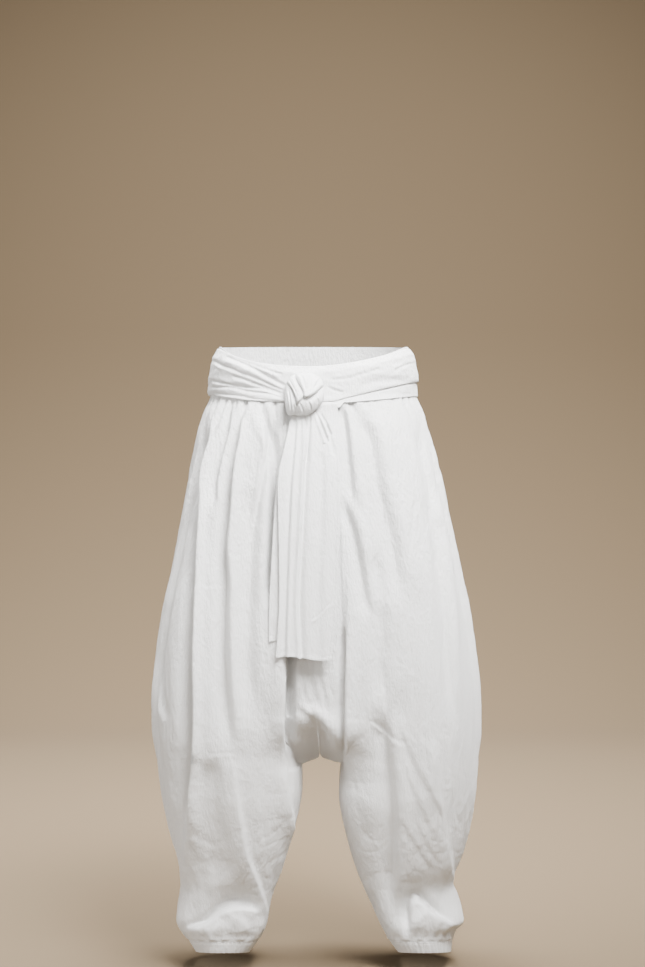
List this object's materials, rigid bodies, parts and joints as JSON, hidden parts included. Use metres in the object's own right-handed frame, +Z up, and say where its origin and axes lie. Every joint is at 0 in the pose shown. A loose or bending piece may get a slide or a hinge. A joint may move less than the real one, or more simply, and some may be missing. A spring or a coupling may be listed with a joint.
{
  "type": "parachute pants",
  "caption": "Ballooning drop-crotch cotton trousers, worn upright and hollow, gathered at the waist and ankles, with a wide self-fabric sash knotted at the front.",
  "frame": {"origin": "Middle of the waist opening at the height of the sash, where the wearer holds the trousers up.", "axes": "+Z up along the legs, -Y to the front where the sash is knotted, +X to the wearer's left."},
  "size_m": [0.5438, 0.3474, 1.012],
  "materials": {
    "cotton": "soft crinkled white cotton, matt",
    "sash_cotton": "soft white cotton, matt, folded in several layers"
  },
  "bodies": {
    "root": {"front_leg_right": "cotton", "back_leg_right": "cotton", "front_leg_left": "cotton", "back_leg_left": "cotton", "waistband": "cotton", "hem_cuff_right": "cotton", "hem_cuff_left": "cotton", "sash_upper_wrap": "sash_cotton", "sash_lower_wrap": "sash_cotton", "sash_knot": "sash_cotton", "sash_tail_front": "sash_cotton", "sash_tail_back": "sash_cotton"}
  },
  "joints": []
}
